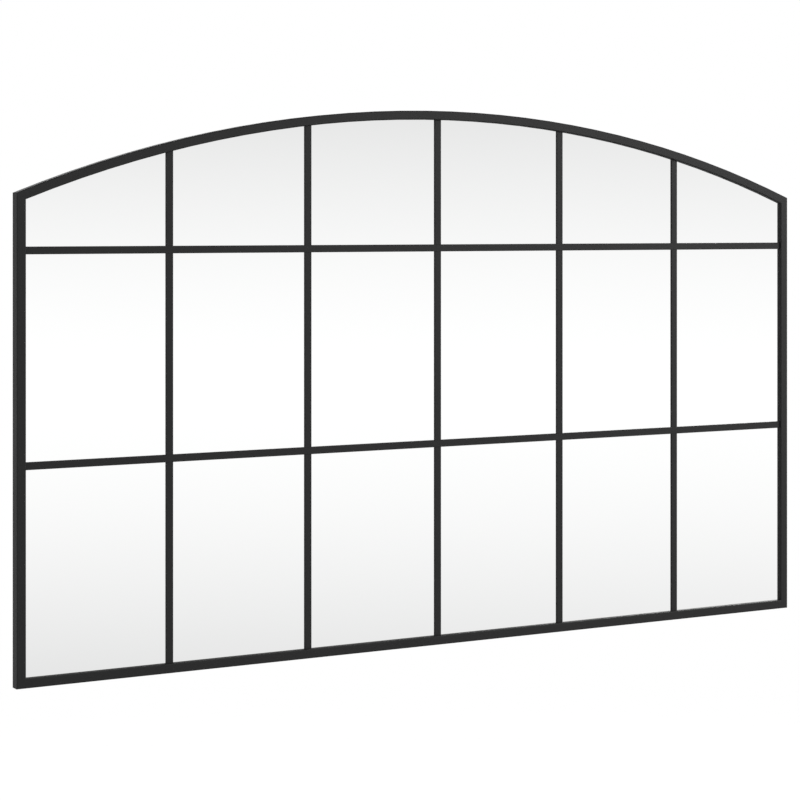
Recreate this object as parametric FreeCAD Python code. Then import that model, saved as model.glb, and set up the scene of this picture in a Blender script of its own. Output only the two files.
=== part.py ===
import FreeCAD, Part
import math
import os

# An arched window mirror in a slim steel frame, which hangs flat on a wall.
#
# Millimetres. +X runs across the mirror, +Z is up and the mirror faces -Y. The origin is half way across
# the width and half way through the depth, level with the underside of the bottom rail.

# --- Driving dimensions ---

# Outline: straight sides with a segmental arch over them
WIDTH = 1000.0
SIDE_HEIGHT = 505.0         # up to the corner where the arch springs
ARCH_RISE = 95.0            # from that corner up to the crown

# Frame rails: a rectangular steel tube with a solid lip along the front of its inner side
RAIL_FACE = 10.0            # tube and lip together
RAIL_DEPTH = 13.0
RAIL_WALL = 1.0
RAIL_EDGE_R = 1.0
LIP_REACH = 2.0             # how far the lip stands out from the tube

# Glazing bars: flat bar, welded between the rails
MULLION_COUNT = 5
BAR_WIDTH = 8.0
BAR_THICK = 1.5
BAR_SETBACK = 2.5           # from the front of the rails back to the front of the bars
BAR_EDGE_R = 0.4
UPPER_BAR_DROP = 59.0       # from the springing corner down to the middle of the upper cross bar

# Pane behind the lip and the bars, the soft pieces that bed it, and the board that closes the back
PANE_THICK = 3.0
PANE_ARRIS = 0.4
PANE_CLEARANCE = 1.0        # all round, taken up by the edge tape
BOARD_THICK = 3.0
BOARD_CLEARANCE = 1.0

# Turn clips that hold the board in, and their screws
CLIP_THICK = 1.2
CLIP_REACH = 20.0           # from the screw to the tip
CLIP_TIP_RUN = 5.0          # length of the bent-up finger tip
CLIP_TIP_RISE = 1.5
CLIP_SIDE_LOW = 130.0       # lower clip on each stile, above the underside of the frame
CLIP_SIDE_DROP = 145.0      # upper clip on each stile, below the springing corner
CLIP_INSET = 165.0          # outer clips on the level rails, in from the sides
SCREW_R = 1.5
SCREW_LENGTH = 6.0
SCREW_HEAD_R = 2.8
SCREW_HEAD_HEIGHT = 1.8
SCREW_HEAD_EDGE_R = 0.8
RECESS_LENGTH = 3.2
RECESS_WIDTH = 0.7
RECESS_DEPTH = 1.0

# Hangers and bumpers that hold the frame off the wall
STANDOFF = 6.0              # from the back of the rails to the wall
HANGER_THICK = 1.5
HANGER_HEIGHT = 34.0
HANGER_REACH = 24.0         # from the foot to the free end
HANGER_BEND_R = 0.6         # inside the bends
HANGER_CORNER_R = 3.0
HANGER_DROP = 60.0          # from the springing corner down to the middle of the hanger
KEYHOLE_R = 5.0             # the round that a screw head goes through
KEYHOLE_SLOT_R = 2.5        # half the width of the slot above it
KEYHOLE_RISE = 10.0         # from the round's centre to the centre of the slot's end
KEYHOLE_DROP = 6.0          # the round's centre below the middle of the hanger
BUMPER_TAPER = 0.4          # how much narrower its tip is than its base, in radius
BUMPER_EDGE_R = 0.5
BUMPER_INSET = 30.0         # middle of the bumper, in from the side of the frame

# Fits
CLIP_FIT = 0.05             # radial, clip hole round its screw
HEAD_FIT = 0.05             # screw head above its clip
THREAD_FIT = 0.02           # radial, screw in its tapped hole

# Cuts
OVERRUN = 10.0              # extra length that a cut takes off again
CUT_OVERRUN = 1.0           # how far a hole's cutter stands out of the wall that it goes through
SAME = 0.01                 # two places or directions that differ by less are the same

# --- Worked out from them ---

HALF_WIDTH = WIDTH / 2
ARCH_R = (HALF_WIDTH**2 + ARCH_RISE**2) / (2 * ARCH_RISE)
ARCH_Z = SIDE_HEIGHT + ARCH_RISE - ARCH_R       # height of the arch's centre
TUBE_FACE = RAIL_FACE - LIP_REACH
TUBE_FLAT = TUBE_FACE - 2 * RAIL_EDGE_R         # flat width across the back of a tube

FRONT_Y = -(RAIL_DEPTH + STANDOFF) / 2
BACK_Y = FRONT_Y + RAIL_DEPTH
WALL_Y = BACK_Y + STANDOFF
BAR_Y = FRONT_Y + BAR_SETBACK
PANE_Y = BAR_Y + BAR_THICK
FOAM_Y = PANE_Y + PANE_THICK
BOARD_Y = BACK_Y - BOARD_THICK

UPPER_BAR_Z = SIDE_HEIGHT - UPPER_BAR_DROP - BAR_WIDTH / 2      # undersides of the cross bars
ROW_HEIGHT = (UPPER_BAR_Z - RAIL_FACE - BAR_WIDTH) / 2
LOWER_BAR_Z = RAIL_FACE + ROW_HEIGHT
COLUMN_PITCH = (WIDTH - 2 * RAIL_FACE + BAR_WIDTH) / (MULLION_COUNT + 1)

ALONG_X = FreeCAD.Vector(1, 0, 0)
ALONG_Y = FreeCAD.Vector(0, 1, 0)
ALONG_Z = FreeCAD.Vector(0, 0, 1)
ARCH_CENTRE = FreeCAD.Vector(0, 0, ARCH_Z)


def point(x, y, z):
    return FreeCAD.Vector(x, y, z)


def prism(corners, run):
    """A flat polygon through the corners, carried along run."""
    return Part.Face(Part.makePolygon(corners + corners[:1])).extrude(run)


def rod(centre, radius, run):
    return Part.makeCylinder(radius, run.Length, centre, run)


# --- The arched outline ---

def side_top(inset):
    """Height at which the outline, drawn in by inset, turns from its side into its arch."""
    return ARCH_Z + math.sqrt((ARCH_R - inset)**2 - (HALF_WIDTH - inset)**2)


def arched_plate(inset, front_y, thick):
    """A sheet with the frame's outline, drawn in by inset."""
    half = HALF_WIDTH - inset
    low_left = point(-half, front_y, inset)
    low_right = point(half, front_y, inset)
    top_right = point(half, front_y, side_top(inset))
    crown = point(0, front_y, ARCH_Z + ARCH_R - inset)
    top_left = point(-half, front_y, side_top(inset))
    edges = [
        Part.LineSegment(low_left, low_right).toShape(),
        Part.LineSegment(low_right, top_right).toShape(),
        Part.Arc(top_right, crown, top_left).toShape(),
        Part.LineSegment(top_left, low_left).toShape(),
    ]
    return Part.Face(Part.Wire(edges)).extrude(ALONG_Y * thick)


# --- Frame rails ---

def mitre(side, at_top):
    """A mitre line, as its end outside the frame and its end inside it."""
    outer = point(side * HALF_WIDTH, FRONT_Y, SIDE_HEIGHT if at_top else 0)
    inner_z = side_top(RAIL_FACE) if at_top else RAIL_FACE
    inner = point(side * (HALF_WIDTH - RAIL_FACE), FRONT_Y, inner_z)
    longer = (outer - inner).normalize() * OVERRUN
    return outer + longer, inner - longer


def stile_span(side):
    """The space between a stile's two mitres, through the whole depth of the frame."""
    low_out, low_in = mitre(side, False)
    top_out, top_in = mitre(side, True)
    return prism([low_out, low_in, top_in, top_out], ALONG_Y * RAIL_DEPTH)


def bottom_span():
    left_out, left_in = mitre(-1, False)
    right_out, right_in = mitre(1, False)
    return prism([left_out, left_in, right_in, right_out], ALONG_Y * RAIL_DEPTH)


def arch_span():
    left_out, left_in = mitre(-1, True)
    right_out, right_in = mitre(1, True)
    over = ALONG_Z * (ARCH_RISE + OVERRUN)
    return prism([left_in, right_in, right_out, right_out + over, left_out + over, left_out],
                 ALONG_Y * RAIL_DEPTH)


def outline(corners):
    """A face inside a loop of corners, each given as its place and the radius of its round."""
    rounds = []
    for number, (place, radius) in enumerate(corners):
        back = (corners[number - 1][0] - place).normalize() * radius
        ahead = (corners[(number + 1) % len(corners)][0] - place).normalize() * radius
        rounds.append((place + back, place + (back + ahead) * (1 - math.sqrt(0.5)), place + ahead, radius))
    edges = []
    for number, (first, middle, last, radius) in enumerate(rounds):
        if radius > 0:
            edges.append(Part.Arc(first, middle, last).toShape())
        edges.append(Part.LineSegment(last, rounds[(number + 1) % len(rounds)][0]).toShape())
    return Part.Face(Part.Wire(edges))


def rail_section(outer, inward):
    """The section of the tube and its lip, from a point on the frame's outer front edge."""
    def loop(places):
        return [(outer + inward * across + ALONG_Y * deep, radius) for across, deep, radius in places]

    lip_deep = PANE_Y - FRONT_Y
    bore_across = TUBE_FACE - RAIL_WALL
    bore_deep = RAIL_DEPTH - RAIL_WALL
    skin = outline(loop([(0, 0, RAIL_EDGE_R), (RAIL_FACE, 0, RAIL_EDGE_R), (RAIL_FACE, lip_deep, 0),
                         (TUBE_FACE, lip_deep, 0), (TUBE_FACE, RAIL_DEPTH, RAIL_EDGE_R),
                         (0, RAIL_DEPTH, RAIL_EDGE_R)]))
    bore = outline(loop([(RAIL_WALL, RAIL_WALL, 0), (bore_across, RAIL_WALL, 0), (bore_across, bore_deep, 0),
                         (RAIL_WALL, bore_deep, 0)]))
    return skin.cut(bore).Faces[0]


def tapped(rail, rail_name):
    """The rail with a hole through its back wall for each of its clip screws."""
    start = ALONG_Y * (BACK_Y - RAIL_WALL - CUT_OVERRUN)
    through = ALONG_Y * (RAIL_WALL + 2 * CUT_OVERRUN)
    for name, place, angle in CLIPS:
        if name.startswith(rail_name):
            rail = rail.cut(rod(place + start, SCREW_R + THREAD_FIT, through))
    return rail


def stile(side):
    foot = point(side * HALF_WIDTH, FRONT_Y, -OVERRUN)
    tube = rail_section(foot, ALONG_X * -side).extrude(ALONG_Z * (SIDE_HEIGHT + 2 * OVERRUN))
    return tapped(tube.common(stile_span(side)), "left" if side < 0 else "right")


def bottom_rail():
    end = point(-HALF_WIDTH - OVERRUN, FRONT_Y, 0)
    tube = rail_section(end, ALONG_Z).extrude(ALONG_X * (WIDTH + 2 * OVERRUN))
    return tapped(tube.common(bottom_span()), "bottom")


def arch_rail():
    half_turn = math.degrees(math.asin((HALF_WIDTH + OVERRUN) / ARCH_R))
    section = rail_section(point(0, FRONT_Y, ARCH_Z + ARCH_R), -ALONG_Z)
    section.rotate(ARCH_CENTRE, ALONG_Y, -half_turn)
    tube = section.revolve(ARCH_CENTRE, ALONG_Y, 2 * half_turn)
    return tapped(tube.common(arch_span()), "arch")


# --- Glazing bars ---

def flat_bar(low_x, low_z, across, up, along):
    """A flat bar with its two long front edges eased."""
    bar = Part.makeBox(across, BAR_THICK, up, point(low_x, BAR_Y, low_z))
    long_front = [edge for edge in bar.Edges
                  if edge.tangentAt(edge.FirstParameter).cross(along).Length < SAME
                  and edge.CenterOfMass.y < BAR_Y + BAR_THICK / 2]
    return bar.makeFillet(BAR_EDGE_R, long_front)


def cross_bar(low_z):
    half = HALF_WIDTH - RAIL_FACE
    return flat_bar(-half, low_z, 2 * half, BAR_WIDTH, ALONG_X)


def mullion_x(number):
    """Left edge of an upright bar, counted from 1 at the left."""
    return -HALF_WIDTH + RAIL_FACE - BAR_WIDTH + number * COLUMN_PITCH


def mullion_piece(number, low_z, top_z):
    return flat_bar(mullion_x(number), low_z, BAR_WIDTH, top_z - low_z, ALONG_Z)


def top_mullion_piece(number):
    """The length between the upper cross bar and the underside of the arch."""
    blank = mullion_piece(number, UPPER_BAR_Z + BAR_WIDTH, SIDE_HEIGHT + ARCH_RISE)
    return blank.common(arched_plate(RAIL_FACE, FRONT_Y, RAIL_DEPTH))


# --- Pane, tape, foam and board ---

def mirror_pane():
    pane = arched_plate(TUBE_FACE + PANE_CLEARANCE, PANE_Y, PANE_THICK)
    rims = [edge for face in pane.Faces if face.normalAt(0, 0).cross(ALONG_Y).Length < SAME
            for edge in face.Edges]
    return pane.makeChamfer(PANE_ARRIS, rims)


def foam_sheet():
    return arched_plate(TUBE_FACE + PANE_CLEARANCE, FOAM_Y, BOARD_Y - FOAM_Y)


def backing_board():
    return arched_plate(TUBE_FACE + BOARD_CLEARANCE, BOARD_Y, BOARD_THICK)


def edge_tape(span):
    """The length of tape that lines one rail, mitred where it meets the next."""
    depth = BOARD_Y - PANE_Y
    lining = arched_plate(TUBE_FACE, PANE_Y, depth)
    return lining.cut(arched_plate(TUBE_FACE + PANE_CLEARANCE, PANE_Y, depth)).common(span)


# --- Turn clips and screws ---

def clip_places():
    """Name, screw centre at y = 0 and inward angle about +Y of each clip, from left to right or upwards."""
    places = []
    mid = TUBE_FACE / 2
    for side, name, angle in ((-1, "left", 0), (1, "right", 180)):
        for number, z in enumerate((CLIP_SIDE_LOW, SIDE_HEIGHT - CLIP_SIDE_DROP), start=1):
            places.append((f"{name}_{number}", point(side * (HALF_WIDTH - mid), 0, z), angle))
    for number, x in enumerate((CLIP_INSET - HALF_WIDTH, 0, HALF_WIDTH - CLIP_INSET), start=1):
        lean = math.asin(x / (ARCH_R - mid))
        on_arch = point(x, 0, ARCH_Z + (ARCH_R - mid) * math.cos(lean))
        places.append((f"bottom_{number}", point(x, 0, mid), -90))
        places.append((f"arch_{number}", on_arch, 90 + math.degrees(lean)))
    return places


CLIPS = clip_places()


def turn_clip(place, angle):
    """A flat steel button with a bent-up tip, as wide as the tube's flat back, lying across the board."""
    half = TUBE_FLAT / 2
    bend = CLIP_REACH - CLIP_TIP_RUN
    side_view = [(-half, 0), (bend, 0), (CLIP_REACH, CLIP_TIP_RISE), (CLIP_REACH, CLIP_TIP_RISE + CLIP_THICK),
                 (bend, CLIP_THICK), (-half, CLIP_THICK)]
    strip = prism([point(along, up, -half) for along, up in side_view], ALONG_Z * TUBE_FLAT)
    through = ALONG_Y * (CLIP_TIP_RISE + CLIP_THICK)
    straight = prism([point(0, 0, -half), point(CLIP_REACH - half, 0, -half), point(CLIP_REACH - half, 0, half),
                      point(0, 0, half)], through)
    plan = straight.fuse([rod(point(0, 0, 0), half, through), rod(point(CLIP_REACH - half, 0, 0), half, through)])
    clip = strip.common(plan.removeSplitter()).cut(rod(point(0, 0, 0), SCREW_R + CLIP_FIT, through))
    clip.rotate(point(0, 0, 0), ALONG_Y, angle)
    clip.translate(place + ALONG_Y * BACK_Y)
    return clip.Solids[0]


def clip_screw(place):
    """A pan-head screw with a cross recess, standing through its clip into the rail."""
    seat = place + ALONG_Y * (BACK_Y + CLIP_THICK + HEAD_FIT)
    head = rod(seat, SCREW_HEAD_R, ALONG_Y * SCREW_HEAD_HEIGHT)
    rim = [edge for edge in head.Edges if edge.CenterOfMass.y > seat.y + SCREW_HEAD_HEIGHT / 2 and edge.Closed]
    head = head.makeFillet(SCREW_HEAD_EDGE_R, rim)
    floor = seat + ALONG_Y * (SCREW_HEAD_HEIGHT - RECESS_DEPTH)
    long, wide = RECESS_LENGTH / 2, RECESS_WIDTH / 2
    for across, up in ((long, wide), (wide, long)):
        head = head.cut(Part.makeBox(2 * across, RECESS_DEPTH, 2 * up, floor - point(across, 0, up)))
    return head.fuse(rod(seat, SCREW_R, ALONG_Y * -SCREW_LENGTH)).removeSplitter().Solids[0]


# --- Hangers and bumpers ---

def hanger(side):
    """A joggled plate: a foot on the back of the stile, a step, and a keyhole plate clear of the board."""
    outer = HALF_WIDTH - RAIL_EDGE_R
    step = outer - TUBE_FLAT
    free = step - HANGER_REACH
    middle_z = SIDE_HEIGHT - HANGER_DROP
    plan = [(outer, BACK_Y), (step, BACK_Y), (step, WALL_Y - HANGER_THICK), (free, WALL_Y - HANGER_THICK),
            (free, WALL_Y), (step + HANGER_THICK, WALL_Y), (step + HANGER_THICK, BACK_Y + HANGER_THICK),
            (outer, BACK_Y + HANGER_THICK)]
    foot_z = middle_z - HANGER_HEIGHT / 2
    plate = prism([point(x, y, foot_z) for x, y in plan], ALONG_Z * HANGER_HEIGHT)
    inside = ((step, WALL_Y - HANGER_THICK), (step + HANGER_THICK, BACK_Y + HANGER_THICK))
    outside = ((step, BACK_Y), (step + HANGER_THICK, WALL_Y))
    plate = rounded(plate, inside, HANGER_BEND_R)
    plate = rounded(plate, outside, HANGER_BEND_R + HANGER_THICK)
    corners = [edge for edge in plate.Edges if abs(edge.CenterOfMass.x - free) < SAME
               and edge.Length < HANGER_THICK + SAME]
    plate = plate.makeFillet(HANGER_CORNER_R, corners)
    plate = plate.cut(keyhole((step + free) / 2, middle_z - KEYHOLE_DROP))
    return plate if side > 0 else plate.mirror(point(0, 0, 0), ALONG_X)


def rounded(plate, corners, radius):
    """The plate with its upright edges at these places rounded."""
    edges = [edge for edge in plate.Edges for x, y in corners
             if math.hypot(edge.CenterOfMass.x - x, edge.CenterOfMass.y - y) < SAME]
    return plate.makeFillet(radius, edges)


def keyhole(x, z):
    """The round and the slot above it, as the space to cut away."""
    start = WALL_Y - HANGER_THICK - CUT_OVERRUN
    through = ALONG_Y * (HANGER_THICK + 2 * CUT_OVERRUN)
    slot = Part.makeBox(2 * KEYHOLE_SLOT_R, through.Length, KEYHOLE_RISE, point(x - KEYHOLE_SLOT_R, start, z))
    return slot.fuse([rod(point(x, start, z), KEYHOLE_R, through),
                      rod(point(x, start, z + KEYHOLE_RISE), KEYHOLE_SLOT_R, through)])


def wall_bumper(side):
    base = point(side * (HALF_WIDTH - BUMPER_INSET), BACK_Y, TUBE_FACE / 2)
    base_r = TUBE_FLAT / 2
    cone = Part.makeCone(base_r, base_r - BUMPER_TAPER, STANDOFF, base, ALONG_Y)
    rim = [edge for edge in cone.Edges if edge.Closed and edge.CenterOfMass.y > WALL_Y - STANDOFF / 2]
    return cone.makeFillet(BUMPER_EDGE_R, rim)


# --- All the pieces ---

def pieces():
    made = {
        "left_stile": stile(-1),
        "right_stile": stile(1),
        "bottom_rail": bottom_rail(),
        "arch_rail": arch_rail(),
        "lower_cross_bar": cross_bar(LOWER_BAR_Z),
        "upper_cross_bar": cross_bar(UPPER_BAR_Z),
        "mirror_pane": mirror_pane(),
        "foam_sheet": foam_sheet(),
        "backing_board": backing_board(),
        "edge_tape_left": edge_tape(stile_span(-1)),
        "edge_tape_right": edge_tape(stile_span(1)),
        "edge_tape_bottom": edge_tape(bottom_span()),
        "edge_tape_arch": edge_tape(arch_span()),
        "clip_screws": Part.Compound([clip_screw(place) for name, place, angle in CLIPS]),
        "hanger_left": hanger(-1),
        "hanger_right": hanger(1),
        "wall_bumper_left": wall_bumper(-1),
        "wall_bumper_right": wall_bumper(1),
    }
    for number in range(1, MULLION_COUNT + 1):
        made[f"mullion_{number}_lower"] = mullion_piece(number, RAIL_FACE, LOWER_BAR_Z)
        made[f"mullion_{number}_middle"] = mullion_piece(number, LOWER_BAR_Z + BAR_WIDTH, UPPER_BAR_Z)
        made[f"mullion_{number}_upper"] = top_mullion_piece(number)
    for name, place, angle in CLIPS:
        made[f"turn_clip_{name}"] = turn_clip(place, angle)
    return made


os.makedirs("parts", exist_ok=True)
for node, shape in pieces().items():
    shape.exportStep(os.path.join("parts", node + ".step"))
    print(f"{node:22s} solids {len(shape.Solids)}  valid {shape.isValid()}  volume {shape.Volume:10.1f} mm3")
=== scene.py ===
"""The finish of an arched window mirror, its studio and its camera."""

import math

import bmesh
import bpy
from mathutils import Matrix, Vector


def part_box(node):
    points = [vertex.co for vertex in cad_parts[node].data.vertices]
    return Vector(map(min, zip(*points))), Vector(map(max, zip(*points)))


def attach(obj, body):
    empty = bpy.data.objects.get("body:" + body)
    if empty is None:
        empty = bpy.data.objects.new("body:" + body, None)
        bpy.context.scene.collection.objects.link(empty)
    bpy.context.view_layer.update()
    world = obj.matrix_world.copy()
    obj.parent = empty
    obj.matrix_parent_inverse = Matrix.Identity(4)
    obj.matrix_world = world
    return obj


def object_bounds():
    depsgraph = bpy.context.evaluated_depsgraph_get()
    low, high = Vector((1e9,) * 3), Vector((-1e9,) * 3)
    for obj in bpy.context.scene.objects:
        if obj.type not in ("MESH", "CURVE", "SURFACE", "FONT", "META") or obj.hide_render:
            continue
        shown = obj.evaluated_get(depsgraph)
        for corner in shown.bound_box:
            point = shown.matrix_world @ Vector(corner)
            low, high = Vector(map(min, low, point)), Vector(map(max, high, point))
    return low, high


bl_info = {
    "name": "Arched window mirror",
    "version": (1, 0, 0),
    "blender": (4, 5, 0),
    "location": "View3D > Sidebar > Mirror",
    "description": "Finishes the arched window mirror and sets up its studio",
    "category": "Object",
}

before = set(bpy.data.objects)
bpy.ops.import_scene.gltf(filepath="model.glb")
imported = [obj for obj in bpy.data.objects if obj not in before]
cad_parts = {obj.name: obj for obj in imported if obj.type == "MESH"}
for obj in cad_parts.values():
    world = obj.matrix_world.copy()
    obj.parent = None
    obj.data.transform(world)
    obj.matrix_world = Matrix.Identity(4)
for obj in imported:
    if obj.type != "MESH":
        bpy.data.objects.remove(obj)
CAD_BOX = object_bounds()
MIDDLE = (CAD_BOX[0] + CAD_BOX[1]) / 2
RAILS = ("left_stile", "right_stile", "bottom_rail", "arch_rail")
TAPES = ("edge_tape_left", "edge_tape_right", "edge_tape_bottom", "edge_tape_arch")
BUMPERS = ("wall_bumper_left", "wall_bumper_right")


def nodes_named(start):
    """The frame's nodes whose names start so."""
    return sorted(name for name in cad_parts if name.startswith(start))


# --- Sizes and colours ---

def length(name, description, default):
    return bpy.props.FloatProperty(name=name, description=description, default=default,
                                   unit="LENGTH", subtype="DISTANCE", precision=5)


def angle(name, description, degrees):
    return bpy.props.FloatProperty(name=name, description=description, default=math.radians(degrees),
                                   unit="ROTATION", subtype="ANGLE")


def colour(name, description, default):
    return bpy.props.FloatVectorProperty(name=name, description=description, default=default,
                                         size=3, min=0, max=1, subtype="COLOR")


def share(name, description, default, top=1.0):
    return bpy.props.FloatProperty(name=name, description=description, default=default, min=0, max=top,
                                   subtype="FACTOR", precision=4)


def power(name, description, watts):
    return bpy.props.FloatProperty(name=name, description=description, default=watts, unit="POWER")


class FinishSettings(bpy.types.PropertyGroup):
    powder: colour("Powder coat", "Colour of the black powder coat", (0.0105, 0.0105, 0.0107))
    powder_roughness: share("Powder coat roughness", "How matt the powder coat is", 0.6)
    powder_gloss: share("Powder coat gloss", "Specular level of the powder coat", 0.27)
    powder_grain: length("Powder coat grain", "Width of the fine bumps in the powder coat", 0.0004)
    powder_peel: length("Orange peel", "Width of the shallow waves in the powder coat", 0.0030)
    silver: colour("Silvering", "Colour of the silvered glass", (0.965, 0.968, 0.966))
    board: colour("Hardboard", "Colour of the backing board", (0.210, 0.112, 0.054))
    board_fibre: length("Hardboard fibre", "Width of the fibres in the board", 0.0016)
    board_cloud: length("Hardboard cloud", "Size of the cloudy patches in the board", 0.20)
    foam: colour("Foam", "Colour of the foam sheet", (0.78, 0.79, 0.80))
    tape: colour("Edge tape", "Colour of the foam tape round the pane", (0.012, 0.012, 0.012))
    zinc: colour("Zinc plate", "Colour of the clips and their screws", (0.55, 0.56, 0.575))
    zinc_roughness: share("Zinc plate roughness", "How dull the zinc plate is", 0.34)
    rubber: colour("Rubber", "Colour of the wall bumpers", (0.021, 0.021, 0.022))
    weld_radius: length("Weld radius", "Radius of the weld beads on the hangers", 0.0010)
    weld_pitch: length("Weld ripple", "Spacing of the ripples in the weld beads", 0.0011)


class StudioSettings(bpy.types.PropertyGroup):
    camera_across: length("Camera across", "How far left of the mirror's middle the camera stands", 1.3330)
    camera_back: length("Camera back", "How far in front of the mirror's front the camera stands", 2.2253)
    camera_height: length("Camera height", "Height of the camera above the mirror's underside", 0.47406)
    camera_turn: angle("Camera turn", "How far the camera turns to the right of straight ahead", 29.948)
    focal_length: bpy.props.FloatProperty(
        name="Focal length", description="Focal length in millimetres on a 36 mm sensor", default=103.85)
    horizon_shift: bpy.props.FloatProperty(
        name="Horizon shift", description="Vertical shift of the lens, in image widths", default=-0.2213)
    floor_drop: length("Floor drop", "How far below the mirror the floor is", 1.0)
    floor_reach: length("Floor reach", "Radius of the floor", 5.0)
    floor: colour("Floor", "Colour of the floor", (0.62, 0.62, 0.62))
    room_grey: share("Room grey", "Brightness of the room above and below its bright band", 0.63)
    band_gain: share("Band brightness", "Brightness of the middle of the room's bright band", 1.045, 1.5)
    band_middle: angle("Band middle", "Elevation of the middle of the bright band", -4.05)
    band_reach: angle("Band reach", "Angle from the band's middle to where it has faded", 13)
    key_power: power("Key power", "Power of the key lamp", 36)
    fill_power: power("Fill power", "Power of the fill lamp", 3)
    back_power: power("Back power", "Power of the lamp behind the mirror", 22)


# --- Shader maths ---

NOISE_MEAN = 0.5
FIBRE_DETAIL = 3.0
FIBRE_STRETCH = (0.25, 1, 1)


class Wire:
    """A shader socket. Arithmetic on it adds Math nodes."""

    def __init__(self, recipe, socket):
        self.recipe = recipe
        self.socket = socket

    def maths(self, operation, *values):
        return self.recipe.node("ShaderNodeMath", {"operation": operation}, dict(enumerate(values)))

    def __add__(self, other):
        return self.maths("ADD", self, other)

    def __radd__(self, other):
        return self.maths("ADD", other, self)

    def __sub__(self, other):
        return self.maths("SUBTRACT", self, other)

    def __rsub__(self, other):
        return self.maths("SUBTRACT", other, self)

    def __mul__(self, other):
        return self.maths("MULTIPLY", self, other)

    def __rmul__(self, other):
        return self.maths("MULTIPLY", other, self)

    def __abs__(self):
        return self.maths("ABSOLUTE", self)


class Recipe:
    """Builds one node tree."""

    def __init__(self, tree):
        self.tree = tree
        tree.nodes.clear()

    def node(self, kind, settings=None, inputs=None, output=0):
        """Adds a node, sets it up, and gives one of its outputs as a Wire."""
        made = self.tree.nodes.new(kind)
        for name, value in (settings or {}).items():
            if name == "stops":
                self.set_stops(made.color_ramp, value)
            else:
                setattr(made, name, value)
        for name, value in (inputs or {}).items():
            if isinstance(value, Wire):
                self.tree.links.new(value.socket, made.inputs[name])
            else:
                made.inputs[name].default_value = value
        return Wire(self, made.outputs[output])

    @staticmethod
    def set_stops(ramp, stops):
        while len(ramp.elements) < len(stops):
            ramp.elements.new(1.0)
        for element, (position, grey) in zip(ramp.elements, stops):
            element.position = position
            element.color = (grey, grey, grey, 1)

    def noise(self, size, detail=2.0, stretch=(1, 1, 1), place=None):
        """Noise with features about this size, centred on NOISE_MEAN, in object space or at a given place."""
        place = place or self.node("ShaderNodeTexCoord", output="Object")
        place = self.node("ShaderNodeMapping", {}, {"Vector": place, "Scale": stretch})
        return self.node("ShaderNodeTexNoise", {}, {"Vector": place, "Scale": 1 / size, "Detail": detail})

    def fibres(self, width, turn):
        """Short fibres about this wide, turned by this many degrees about Y."""
        place = self.node("ShaderNodeTexCoord", output="Object")
        place = self.node("ShaderNodeMapping", {}, {"Vector": place, "Rotation": (0, math.radians(turn), 0)})
        return self.noise(width, FIBRE_DETAIL, FIBRE_STRETCH, place)

    def mix(self, factor, first, second):
        """A colour between two colours. The Mix node's sockets for them are found by number."""
        return self.node("ShaderNodeMix", {"data_type": "RGBA"}, {0: factor, 6: first, 7: second}, output=2)

    def shade(self, factor, rgb, gains):
        """This colour times the first gain, going over to the second gain as the factor rises."""
        return self.mix(factor, opaque(rgb, gains[0]), opaque(rgb, gains[1]))

    def bump(self, height, relief):
        return self.node("ShaderNodeBump", {}, {"Height": height, "Distance": relief})

    def surface(self, inputs):
        """Ends the tree in a Principled surface."""
        self.end(self.node("ShaderNodeBsdfPrincipled", {}, inputs))

    def end(self, shader, kind="ShaderNodeOutputMaterial"):
        end = self.tree.nodes.new(kind)
        self.tree.links.new(shader.socket, end.inputs["Surface"])


def opaque(rgb, gain=1.0):
    return tuple(channel * gain for channel in rgb) + (1.0,)


def material(name):
    made = bpy.data.materials.new(name)
    made.use_nodes = True
    return made, Recipe(made.node_tree)


def coat(finish, node_names):
    """Gives these nodes of the frame this finish alone."""
    for name in node_names:
        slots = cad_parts[name].data.materials
        slots.clear()
        slots.append(finish)


# --- Finishes ---
#
# Sizes of marks and reliefs are in metres. Gains multiply a finish's colour where it is darkest and
# lightest. A swing is how far a mark moves the roughness.

POWDER_DRIFT = 0.06             # size of the patches where the tone drifts
POWDER_DRIFT_SHARE = 0.7        # of the drift in the tone
POWDER_GRAIN_SHARE = 0.3
POWDER_GRAIN_HEIGHT = 0.5       # as a share of the orange peel's
POWDER_GAINS = (0.7, 1.3)
POWDER_SWING = 0.1              # of the drift, and of the grain
POWDER_RELIEF = 0.0001


def powder_coat(look):
    """Matt black powder coat: a fine grain over a shallow orange peel, and a faint unevenness of tone."""
    finish, recipe = material("powder_coat")
    grain = recipe.noise(look.powder_grain, detail=3.0)
    peel = recipe.noise(look.powder_peel)
    drift = recipe.noise(POWDER_DRIFT)
    unevenness = POWDER_DRIFT_SHARE * drift + POWDER_GRAIN_SHARE * grain
    recipe.surface({
        "Base Color": recipe.shade(unevenness, look.powder, POWDER_GAINS),
        "Roughness": look.powder_roughness - POWDER_SWING + POWDER_SWING * drift + POWDER_SWING * grain,
        "Specular IOR Level": look.powder_gloss,
        "Normal": recipe.bump(grain * POWDER_GRAIN_HEIGHT + peel, POWDER_RELIEF),
    })
    return finish


GLASS_RIPPLE = 0.3
GLASS_RELIEF = 0.00001


def silvered_glass(look):
    """A bright mirror, a little green in its depth, with the faint ripple of float glass."""
    finish, recipe = material("silvered_glass")
    ripple = recipe.noise(GLASS_RIPPLE, detail=1.0)
    recipe.surface({
        "Base Color": opaque(look.silver),
        "Metallic": 1.0,
        "Roughness": 0.0,
        "Normal": recipe.bump(ripple, GLASS_RELIEF),
    })
    return finish


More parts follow.
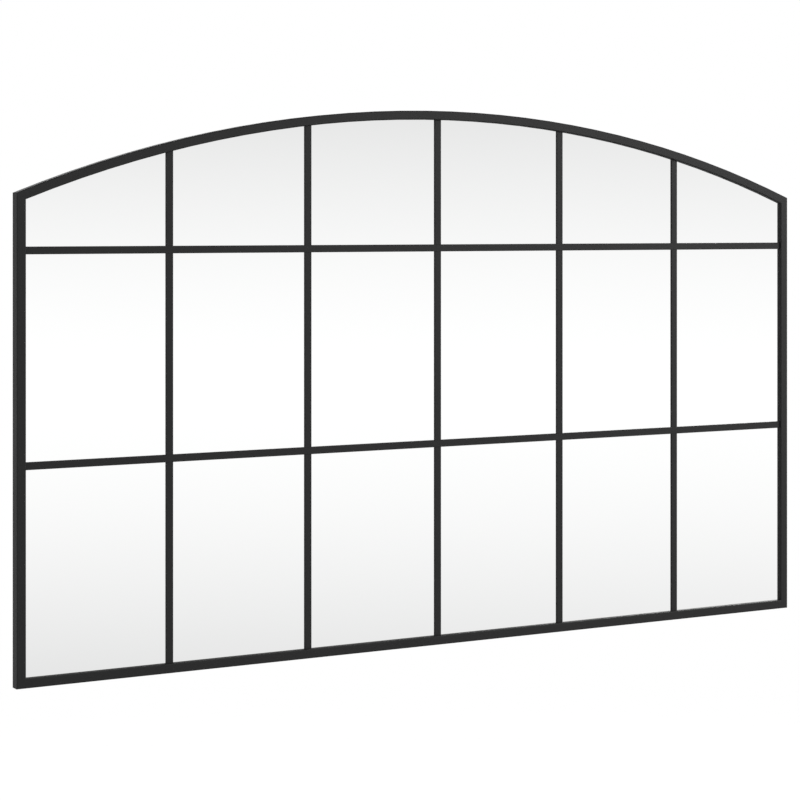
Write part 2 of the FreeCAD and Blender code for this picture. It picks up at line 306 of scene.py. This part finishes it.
FIBRE_TURNS = (35, -50)         # degrees
FLECK_TURNS = (10, 80)
FLECK_WIDTH = 1.5               # as a multiple of the fibres'
FLECK_STOPS = ((0.30, 0.0), (0.42, 1.0))
FLECK_STRENGTH = 0.5
FLECK_GAIN = 0.5
CLOUD_SHARES = (0.6, 0.4)       # of the large clouds and the small ones
CLOUD_RATIO = 5                 # size of the large clouds over that of the small ones
CLOUD_STRENGTH = 1.2
BOARD_GAINS = (0.65, 1.55)
BOARD_SMOOTHEST = 0.5           # roughness between the fibres
BOARD_SWING = 0.25
BOARD_RELIEF = 0.00008


def hardboard(look):
    """Smooth brown hardboard: pressed fibres lying every way, darker flecks and cloudy patches."""
    finish, recipe = material("hardboard")
    fine = look.board_fibre
    coarse = look.board_fibre * FLECK_WIDTH
    fibre = 0.5 * (recipe.fibres(fine, FIBRE_TURNS[0]) + recipe.fibres(fine, FIBRE_TURNS[1]))
    flecks = recipe.fibres(coarse, FLECK_TURNS[0]) * recipe.fibres(coarse, FLECK_TURNS[1])
    fleck = recipe.node("ShaderNodeValToRGB", {"stops": FLECK_STOPS}, {"Fac": flecks})
    cloud = (CLOUD_SHARES[0] * recipe.noise(look.board_cloud, detail=5.0)
             + CLOUD_SHARES[1] * recipe.noise(look.board_cloud / CLOUD_RATIO, detail=3.0))
    tone = recipe.shade(fibre + CLOUD_STRENGTH * (cloud - NOISE_MEAN), look.board, BOARD_GAINS)
    recipe.surface({
        "Base Color": recipe.mix(FLECK_STRENGTH * fleck, tone, opaque(look.board, FLECK_GAIN)),
        "Roughness": BOARD_SMOOTHEST + BOARD_SWING * fibre,
        "Specular IOR Level": 0.35,
        "Normal": recipe.bump(fibre, BOARD_RELIEF),
    })
    return finish


FOAM_CELL = 0.0007
FOAM_GAINS = (0.8, 1.1)
FOAM_RELIEF = 0.00012


def soft_foam(name, rgb):
    """Closed-cell foam: small cells, no shine."""
    finish, recipe = material(name)
    cells = recipe.noise(FOAM_CELL)
    recipe.surface({
        "Base Color": recipe.shade(cells, rgb, FOAM_GAINS),
        "Roughness": 0.95,
        "Specular IOR Level": 0.2,
        "Normal": recipe.bump(cells, FOAM_RELIEF),
    })
    return finish


ZINC_LINE = 0.0005
ZINC_LINE_STRETCH = (1, 1, 0.06)
ZINC_CLOUD = 0.004
ZINC_GAINS = (0.86, 1.12)
ZINC_SWING = 0.16
ZINC_RELIEF = 0.000008


def zinc_plate(look):
    """Bright zinc plate on stamped steel: fine rolling lines and cloudy patches."""
    finish, recipe = material("zinc_plate")
    lines = recipe.noise(ZINC_LINE, stretch=ZINC_LINE_STRETCH)
    cloud = recipe.noise(ZINC_CLOUD, detail=3.0)
    recipe.surface({
        "Base Color": recipe.shade(cloud, look.zinc, ZINC_GAINS),
        "Metallic": 1.0,
        "Roughness": look.zinc_roughness - ZINC_SWING / 2 + ZINC_SWING * cloud,
        "Normal": recipe.bump(lines, ZINC_RELIEF),
    })
    return finish


RUBBER_BLOOM = 0.003
RUBBER_GRAIN = 0.0004
RUBBER_GAINS = (0.8, 1.5)
RUBBER_SMOOTHEST = 0.62
RUBBER_SWING = 0.2
RUBBER_RELIEF = 0.00002


def moulded_rubber(look):
    """Black rubber with a faint bloom."""
    finish, recipe = material("moulded_rubber")
    bloom = recipe.noise(RUBBER_BLOOM, detail=3.0)
    recipe.surface({
        "Base Color": recipe.shade(bloom, look.rubber, RUBBER_GAINS),
        "Roughness": RUBBER_SMOOTHEST + RUBBER_SWING * bloom,
        "Specular IOR Level": 0.35,
        "Normal": recipe.bump(recipe.noise(RUBBER_GRAIN), RUBBER_RELIEF),
    })
    return finish


# --- New pieces ---

BEAD_SIDES = 12
BEAD_END = 0.6                  # radius of a bead's ends, as a share of the bead's
RIPPLE_HEIGHT = 0.1             # as a share of the bead's radius
RINGS_PER_RIPPLE = 4
FEWEST_RINGS = 2


def weld_bead(mesh, start, end, radius, pitch):
    """A rippled bead from start to end, as rings of a small tube."""
    run = end - start
    rings = max(FEWEST_RINGS, round(run.length / pitch) * RINGS_PER_RIPPLE)
    turn = run.to_track_quat("Z", "Y").to_matrix().to_4x4()
    ring = bmesh.ops.create_circle(mesh, cap_ends=True, segments=BEAD_SIDES, radius=radius * BEAD_END,
                                   matrix=Matrix.Translation(start) @ turn)["verts"]
    edges = list({edge for vert in ring for edge in vert.link_edges})
    previous = BEAD_END
    for number in range(1, rings + 1):
        along = number / rings
        rounded_end = BEAD_END if number == rings else 1.0
        size = rounded_end * (1 + RIPPLE_HEIGHT * math.cos(2 * math.pi * along * run.length / pitch))
        made = bmesh.ops.extrude_edge_only(mesh, edges=edges)["geom"]
        verts = [item for item in made if isinstance(item, bmesh.types.BMVert)]
        edges = [item for item in made if isinstance(item, bmesh.types.BMEdge)]
        bmesh.ops.translate(mesh, verts=verts, vec=run / rings)
        middle = Matrix.Translation(-(start + run * along))
        bmesh.ops.scale(mesh, verts=verts, vec=Vector((size / previous,) * 3), space=middle)
        previous = size
    bmesh.ops.holes_fill(mesh, edges=edges, sides=0)


def piece_from(mesh, name, finish, body):
    """Makes an object of this mesh. It rides on a body, or is for the stage where body is None."""
    bmesh.ops.recalc_face_normals(mesh, faces=mesh.faces)
    data = bpy.data.meshes.new(name)
    mesh.to_mesh(data)
    mesh.free()
    data.shade_smooth()
    data.materials.append(finish)
    piece = bpy.data.objects.new(name, data)
    bpy.context.scene.collection.objects.link(piece)
    if body is None:
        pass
    else:
        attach(piece, body)


# --- Operators ---

class FinishOperator:
    bl_options = {"REGISTER", "UNDO"}

    def execute(self, context):
        self.make(context.scene.mirror_finish)
        return {"FINISHED"}


class MIRROR_OT_frame(FinishOperator, bpy.types.Operator):
    """Powder coat the rails, the glazing bars and the hangers"""
    bl_idname = "mirror.frame"
    bl_label = "Frame and glazing bars"

    def make(self, look):
        bars = ("lower_cross_bar", "upper_cross_bar", *nodes_named("mullion_"))
        coat(powder_coat(look), (*RAILS, *bars, *nodes_named("hanger_")))


class MIRROR_OT_welds(FinishOperator, bpy.types.Operator):
    """Add the weld beads at the top and bottom of each hanger's foot"""
    bl_idname = "mirror.welds"
    bl_label = "Hanger welds"

    def make(self, look):
        # The clips and the hangers' feet are as wide as the tubes' flat backs
        flat_low, flat_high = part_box("turn_clip_bottom_2")
        foot = flat_high.x - flat_low.x
        for side in ("left", "right"):
            hanger_low, hanger_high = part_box(f"hanger_{side}")
            outer = hanger_low.x if side == "left" else hanger_high.x
            inward = 1 if side == "left" else -1
            mesh = bmesh.new()
            for z in (hanger_low.z, hanger_high.z):
                start = Vector((outer + inward * look.weld_radius, hanger_low.y, z))
                end = Vector((outer + inward * (foot - look.weld_radius), hanger_low.y, z))
                weld_bead(mesh, start, end, look.weld_radius, look.weld_pitch)
            piece_from(mesh, f"hanger_welds_{side}", bpy.data.materials["powder_coat"],
                       "mirror")


class MIRROR_OT_pane(FinishOperator, bpy.types.Operator):
    """Silver the pane"""
    bl_idname = "mirror.pane"
    bl_label = "Mirror pane"

    def make(self, look):
        coat(silvered_glass(look), ("mirror_pane",))


class MIRROR_OT_backing(FinishOperator, bpy.types.Operator):
    """Finish the backing board, the foam sheet and the edge tape"""
    bl_idname = "mirror.backing"
    bl_label = "Backing board, foam and tape"

    def make(self, look):
        coat(hardboard(look), ("backing_board",))
        coat(soft_foam("foam_sheet", look.foam), ("foam_sheet",))
        coat(soft_foam("edge_tape", look.tape), TAPES)


class MIRROR_OT_hardware(FinishOperator, bpy.types.Operator):
    """Zinc plate the turn clips and their screws, and finish the rubber bumpers"""
    bl_idname = "mirror.hardware"
    bl_label = "Turn clips, screws and bumpers"

    def make(self, look):
        coat(zinc_plate(look), ("clip_screws", *nodes_named("turn_clip_")))
        coat(moulded_rubber(look), BUMPERS)


class MIRROR_OT_stage(bpy.types.Operator):
    """Set up the floor, the room, the lamps and the camera"""
    bl_idname = "mirror.stage"
    bl_label = "Studio"
    bl_options = {"REGISTER", "UNDO"}

    def execute(self, context):
        studio = context.scene.mirror_studio
        lay_floor(studio)
        paint_room(studio)
        hang_lamps(studio)
        place_camera(studio)
        context.scene.view_settings.view_transform = "Standard"
        return {"FINISHED"}


# --- Studio ---

FLOOR_SIDES = 96
FLOOR_SOLID = 0.55              # radius where the floor begins to fade, as a share of its reach
FLOOR_LIFT = 0.6                # light that the floor adds of its own for the camera
FLOOR_GLOW = 0.1                # and in mirrors
SENSOR_WIDTH = 36               # millimetres

# The name, place and side of each lamp, and the setting for its power
LAMPS = (
    ("key", (2.0, -1.5, 1.3), 1.2, "key_power"),
    ("fill", (-2.4, -1.2, 1.8), 1.6, "fill_power"),
    ("behind", (0.6, 2.4, 2.0), 1.8, "back_power"),
)


def lay_floor(studio):
    """A pale floor with the object's shadow. It is lifted to white for the camera and fades at its rim."""
    finish, recipe = material("floor")
    camera = recipe.node("ShaderNodeLightPath", output="Is Camera Ray")
    glossy = recipe.node("ShaderNodeLightPath", output="Is Glossy Ray")
    paint = recipe.node("ShaderNodeBsdfDiffuse", {}, {"Color": opaque(studio.floor)})
    lift = recipe.node("ShaderNodeEmission", {}, {"Strength": FLOOR_LIFT * camera + FLOOR_GLOW * glossy})
    lit = recipe.node("ShaderNodeAddShader", {}, {0: paint, 1: lift})
    place = recipe.node("ShaderNodeTexCoord", output="Object")
    away = recipe.node("ShaderNodeVectorMath", {"operation": "LENGTH"}, {0: place}, output="Value")
    rim = recipe.node("ShaderNodeMapRange", {"interpolation_type": "SMOOTHSTEP"}, {
        "Value": away,
        "From Min": studio.floor_reach * FLOOR_SOLID,
        "From Max": studio.floor_reach,
    })
    clear = recipe.node("ShaderNodeBsdfTransparent")
    recipe.end(recipe.node("ShaderNodeMixShader", {}, {0: rim, 1: lit, 2: clear}))
    mesh = bmesh.new()
    ground = Matrix.Translation((MIDDLE.x, MIDDLE.y, CAD_BOX[0].z - studio.floor_drop))
    bmesh.ops.create_circle(mesh, cap_ends=True, segments=FLOOR_SIDES, radius=studio.floor_reach,
                            matrix=ground)
    piece_from(mesh, "floor", finish, None)


def paint_room(studio):
    """White to the camera. In mirrors and as light, a grey room with a soft bright band near the horizon."""
    world = bpy.data.worlds.new("room")
    world.use_nodes = True
    bpy.context.scene.world = world
    recipe = Recipe(world.node_tree)
    direction = recipe.node("ShaderNodeTexCoord", output="Generated")
    height = recipe.node("ShaderNodeSeparateXYZ", {}, {"Vector": direction}, output="Z")
    fade = recipe.node("ShaderNodeMapRange", {"interpolation_type": "SMOOTHSTEP"}, {
        "Value": abs(height - math.sin(studio.band_middle)),
        "From Max": math.sin(studio.band_reach),
        "To Min": studio.band_gain,
        "To Max": studio.room_grey,
    })
    camera = recipe.node("ShaderNodeLightPath", output="Is Camera Ray")
    brightness = camera + (1 - camera) * fade
    sky = recipe.node("ShaderNodeBackground", {}, {"Color": (1, 1, 1, 1), "Strength": brightness})
    recipe.end(sky, "ShaderNodeOutputWorld")


def hang_lamps(studio):
    """Soft square lamps that face the middle of the mirror."""
    for name, place, side, setting in LAMPS:
        data = bpy.data.lights.new(name, "AREA")
        data.shape = "SQUARE"
        data.size = side
        data.energy = getattr(studio, setting)
        made = bpy.data.objects.new(name, data)
        made.location = place
        made.rotation_euler = (MIDDLE - Vector(place)).to_track_quat("-Z", "Y").to_euler()
        bpy.context.scene.collection.objects.link(made)


def place_camera(studio):
    data = bpy.data.cameras.new("camera")
    data.sensor_width = SENSOR_WIDTH
    data.lens = studio.focal_length
    data.shift_y = studio.horizon_shift
    camera = bpy.data.objects.new("camera", data)
    low = CAD_BOX[0]
    camera.location = (MIDDLE.x - studio.camera_across,
                       low.y - studio.camera_back,
                       low.z + studio.camera_height)
    camera.rotation_euler = (math.pi / 2, 0, -studio.camera_turn)
    bpy.context.scene.collection.objects.link(camera)
    bpy.context.scene.camera = camera


# --- Panel and registration ---

class MIRROR_PT_panel(bpy.types.Panel):
    """The mirror's pieces, its finishes and its studio"""
    bl_idname = "MIRROR_PT_panel"
    bl_label = "Arched window mirror"
    bl_space_type = "VIEW_3D"
    bl_region_type = "UI"
    bl_category = "Mirror"

    def draw(self, context):
        for operator in OPERATORS:
            self.layout.operator(operator.bl_idname)
        for settings in (context.scene.mirror_finish, context.scene.mirror_studio):
            column = self.layout.column(align=True)
            for name in settings.__annotations__:
                column.prop(settings, name)


OPERATORS = (MIRROR_OT_frame, MIRROR_OT_welds, MIRROR_OT_pane, MIRROR_OT_backing, MIRROR_OT_hardware,
             MIRROR_OT_stage)
CLASSES = (FinishSettings, StudioSettings, *OPERATORS, MIRROR_PT_panel)


def register():
    for made in CLASSES:
        bpy.utils.register_class(made)
    bpy.types.Scene.mirror_finish = bpy.props.PointerProperty(type=FinishSettings)
    bpy.types.Scene.mirror_studio = bpy.props.PointerProperty(type=StudioSettings)


def unregister():
    del bpy.types.Scene.mirror_studio
    del bpy.types.Scene.mirror_finish
    for made in reversed(CLASSES):
        bpy.utils.unregister_class(made)


def main():
    register()
    for operator in (bpy.ops.mirror.frame, bpy.ops.mirror.welds, bpy.ops.mirror.pane, bpy.ops.mirror.backing,
                     bpy.ops.mirror.hardware, bpy.ops.mirror.stage):
        operator()


if __name__ == "__main__":
    main()
